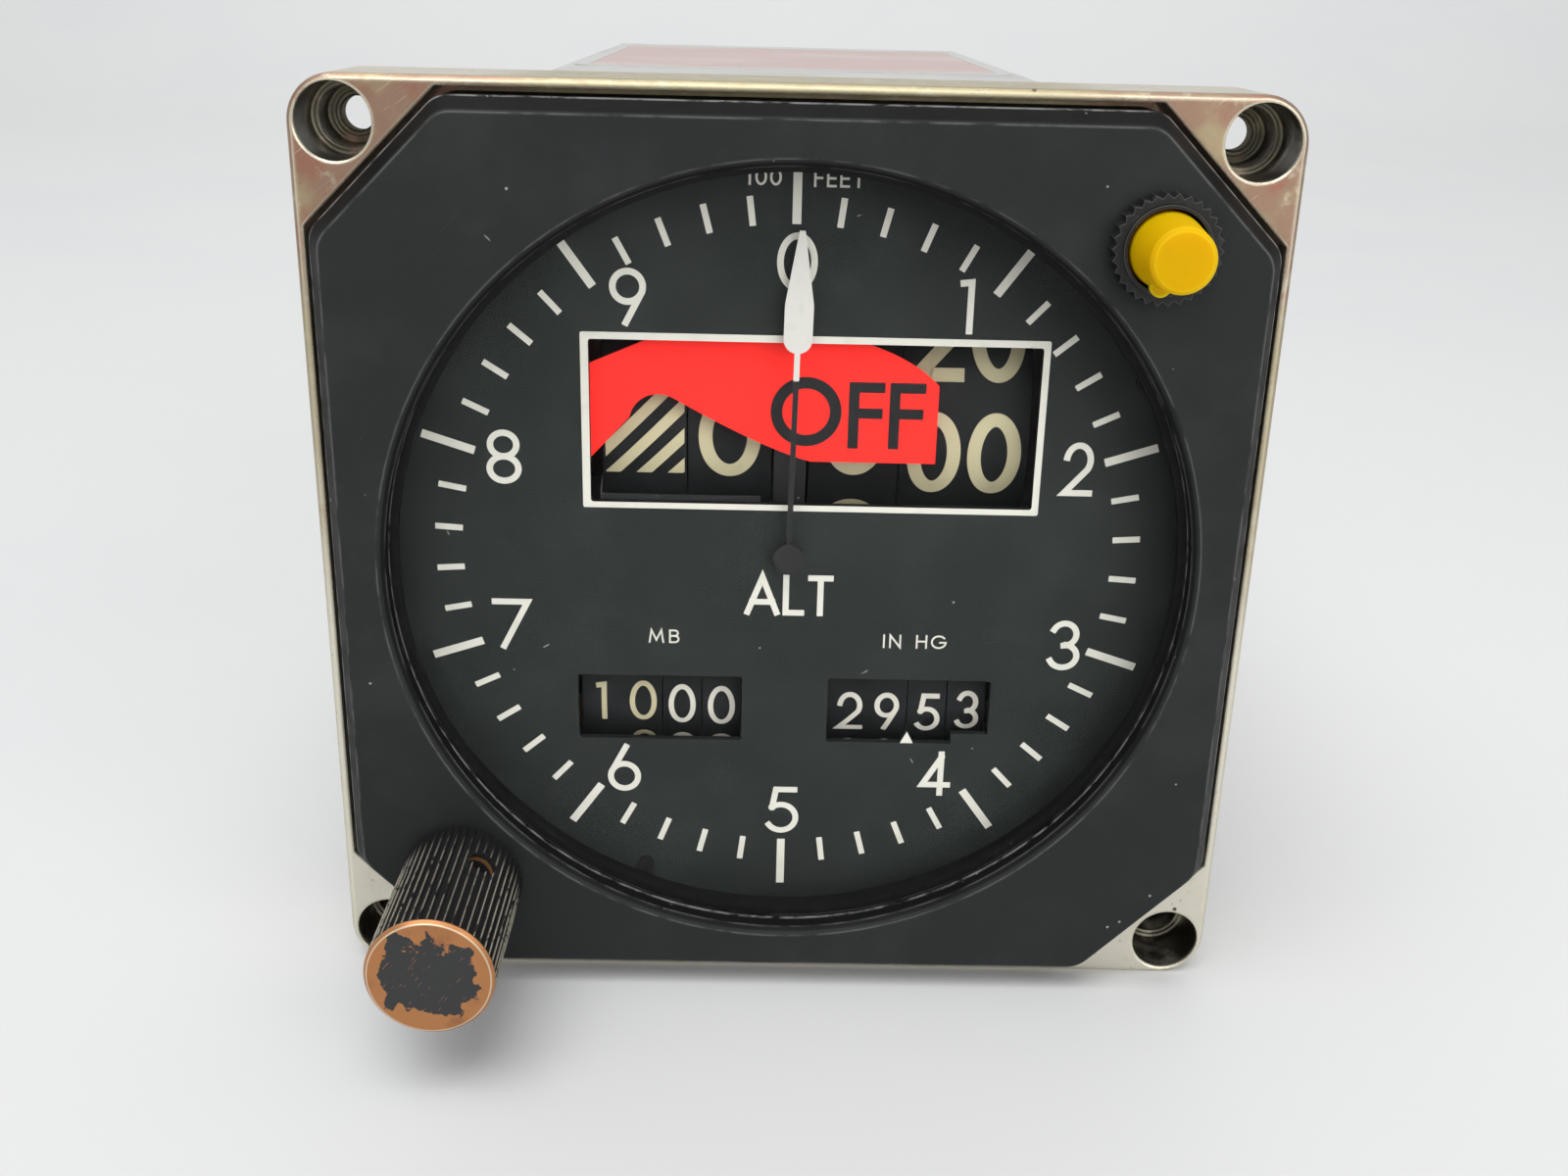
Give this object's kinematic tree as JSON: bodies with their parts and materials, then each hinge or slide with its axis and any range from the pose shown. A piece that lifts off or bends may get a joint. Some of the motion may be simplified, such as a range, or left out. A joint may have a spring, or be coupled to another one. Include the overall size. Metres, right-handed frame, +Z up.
{
  "type": "aircraft altimeter",
  "caption": "Square-flanged panel altimeter with a round dial, sweep pointer, drum counters for height and pressure setting, warning flag, knurled setting knob and push button.",
  "frame": {"origin": "centre of the flange's mounting face, on the dial's axis", "axes": "+X to the right of the dial, +Y from the dial into the panel, +Z up"},
  "size_m": [0.0826, 0.1455, 0.0826],
  "materials": {
    "flange_metal": "worn plated casting",
    "case_metal": "satin plated sheet",
    "bezel_black": "satin black enamel, worn edges",
    "seal_black": "matte",
    "cover_glass": "clear",
    "dial_black": "matte black with white figures",
    "small_black": "black oxide",
    "pointer_white": "matte white and black",
    "steel": "ground",
    "gear_brass": "machined",
    "drum_black": "matte black with cream figures",
    "frame_black": "black anodised",
    "flag_red": "matte fluorescent red",
    "coil_brown": "varnished winding",
    "knob_black": "black over brass, worn through",
    "button_yellow": "smooth moulding",
    "nut_grey": "dark anodised",
    "plunger_grey": "moulded",
    "plate_metal": "machined",
    "drive_grey": "satin",
    "board_green": "solder mask",
    "board_parts": "moulded",
    "connector_metal": "olive plating",
    "insert_black": "moulded",
    "contact_gold": "gold plated"
  },
  "bodies": {
    "housing": {"flange": "flange_metal", "bezel": "bezel_black", "glass_gasket": "seal_black", "cover_glass": "cover_glass", "spacer_ring": "seal_black", "dial": "dial_black", "dial_screws": "small_black", "shaft_bushes": "gear_brass", "counter_shaft": "steel", "counter_frame": "frame_black", "baro_shaft": "steel", "baro_frame": "frame_black", "flag_coil": "coil_brown", "flag_bracket": "frame_black", "knob_bush": "gear_brass", "baro_sensor": "drive_grey", "button_spring": "steel", "button_nut": "nut_grey", "switch_body": "nut_grey", "main_plate": "plate_metal", "back_plate": "plate_metal", "front_pillars": "steel", "rear_pillars": "steel", "case_posts": "steel", "servo_motor": "drive_grey", "feedback_synchro": "drive_grey", "circuit_board": "board_green", "board_parts": "board_parts", "case": "case_metal", "case_screws": "steel", "connector_shell": "connector_metal", "connector_insert": "insert_black", "connector_pins": "contact_gold", "connector_screws": "steel"},
    "pointer": {"pointer": "pointer_white", "pointer_shaft": "steel", "pointer_gear": "gear_brass"},
    "drum_ten_thousands": {"drum_ten_thousands": "drum_black"},
    "drum_thousands": {"drum_thousands": "drum_black"},
    "drum_hundreds": {"drum_hundreds": "drum_black"},
    "drum_tens": {"drum_tens": "drum_black"},
    "hg_drum_inches": {"hg_drum_inches": "drum_black"},
    "hg_drum_tenths": {"hg_drum_tenths": "drum_black"},
    "hg_drum_hundredths": {"hg_drum_hundredths": "drum_black"},
    "mb_drum_hundreds": {"mb_drum_hundreds": "drum_black"},
    "mb_drum_tens": {"mb_drum_tens": "drum_black"},
    "mb_drum_units": {"mb_drum_units": "drum_black"},
    "motor_pinion": {"motor_pinion": "gear_brass"},
    "synchro_gear": {"synchro_gear": "gear_brass"},
    "flag": {"off_flag": "flag_red", "flag_spindle": "steel"},
    "knob": {"baro_knob": "knob_black", "knob_shaft": "steel", "grub_screw": "small_black"},
    "baro_gear": {"baro_gear": "gear_brass"},
    "button": {"button_cap": "button_yellow", "button_plunger": "plunger_grey"}
  },
  "joints": [
    {"name": "pointer_turn", "type": "hinge", "parent": "housing", "child": "pointer", "pos_m": [0, 0, 0], "axis": [0, 1, 0], "continuous": true},
    {"name": "drum_ten_thousands_turn", "type": "hinge", "parent": "housing", "child": "drum_ten_thousands", "pos_m": [0, 0.0145, 0.0105], "axis": [1, 0, 0], "continuous": true},
    {"name": "drum_thousands_turn", "type": "hinge", "parent": "housing", "child": "drum_thousands", "pos_m": [0, 0.0145, 0.0105], "axis": [1, 0, 0], "continuous": true},
    {"name": "drum_hundreds_turn", "type": "hinge", "parent": "housing", "child": "drum_hundreds", "pos_m": [0, 0.0145, 0.0105], "axis": [1, 0, 0], "continuous": true},
    {"name": "drum_tens_turn", "type": "hinge", "parent": "housing", "child": "drum_tens", "pos_m": [0, 0.0145, 0.0105], "axis": [1, 0, 0], "continuous": true},
    {"name": "motor_pinion_turn", "type": "hinge", "parent": "housing", "child": "motor_pinion", "pos_m": [0.01527, 0.042, -0.01527], "axis": [0, 1, 0], "continuous": true},
    {"name": "synchro_gear_turn", "type": "hinge", "parent": "housing", "child": "synchro_gear", "pos_m": [-0.02037, 0.042, 0.02037], "axis": [0, 1, 0], "continuous": true},
    {"name": "knob_turn", "type": "hinge", "parent": "housing", "child": "knob", "pos_m": [-0.02945, 0, -0.02945], "axis": [0, 1, 0], "range_deg": [-515, 529]},
    {"name": "hg_drum_inches_turn", "type": "hinge", "parent": "housing", "child": "hg_drum_inches", "pos_m": [0, 0.00535, -0.0157], "axis": [1, 0, 0], "range_deg": [-53, 54]},
    {"name": "hg_drum_tenths_turn", "type": "hinge", "parent": "housing", "child": "hg_drum_tenths", "pos_m": [0, 0.00535, -0.0157], "axis": [1, 0, 0], "range_deg": [-516, 530]},
    {"name": "hg_drum_hundredths_turn", "type": "hinge", "parent": "housing", "child": "hg_drum_hundredths", "pos_m": [0, 0.00535, -0.0157], "axis": [1, 0, 0], "range_deg": [-5151, 5291]},
    {"name": "mb_drum_hundreds_turn", "type": "hinge", "parent": "housing", "child": "mb_drum_hundreds", "pos_m": [0, 0.00535, -0.0157], "axis": [1, 0, 0], "range_deg": [-19, 19]},
    {"name": "mb_drum_tens_turn", "type": "hinge", "parent": "housing", "child": "mb_drum_tens", "pos_m": [0, 0.00535, -0.0157], "axis": [1, 0, 0], "range_deg": [-176, 181]},
    {"name": "mb_drum_units_turn", "type": "hinge", "parent": "housing", "child": "mb_drum_units", "pos_m": [0, 0.00535, -0.0157], "axis": [1, 0, 0], "range_deg": [-1745, 1793]},
    {"name": "baro_gear_turn", "type": "hinge", "parent": "housing", "child": "baro_gear", "pos_m": [-0.02277, 0.0209, -0.02277], "axis": [0, 1, 0], "range_deg": [-122, 119]},
    {"name": "flag_swing", "type": "hinge", "parent": "housing", "child": "flag", "pos_m": [-0.0254, 0, 0.0062], "axis": [0, -1, 0], "range_deg": [0, 27]},
    {"name": "button_press", "type": "slide", "parent": "housing", "child": "button", "axis": [0, 1, 0], "range_m": [0, 0.0015], "stiffness_N_per_m": 600, "springref_m": -0.0008, "deforming": ["button_spring"]}
  ],
  "couplings": [
    {"joint": "drum_ten_thousands_turn", "follows": "pointer_turn", "ratio": 0.01},
    {"joint": "drum_thousands_turn", "follows": "pointer_turn", "ratio": 0.1},
    {"joint": "drum_hundreds_turn", "follows": "pointer_turn", "ratio": 1},
    {"joint": "drum_tens_turn", "follows": "pointer_turn", "ratio": 5},
    {"joint": "motor_pinion_turn", "follows": "pointer_turn", "ratio": -5},
    {"joint": "synchro_gear_turn", "follows": "pointer_turn", "ratio": -1.6667},
    {"joint": "hg_drum_inches_turn", "follows": "knob_turn", "ratio": 0.1},
    {"joint": "hg_drum_tenths_turn", "follows": "knob_turn", "ratio": 1},
    {"joint": "hg_drum_hundredths_turn", "follows": "knob_turn", "ratio": 10},
    {"joint": "mb_drum_hundreds_turn", "follows": "knob_turn", "ratio": 0.033864},
    {"joint": "mb_drum_tens_turn", "follows": "knob_turn", "ratio": 0.33864},
    {"joint": "mb_drum_units_turn", "follows": "knob_turn", "ratio": 3.3864},
    {"joint": "baro_gear_turn", "follows": "knob_turn", "ratio": -0.22727}
  ]
}
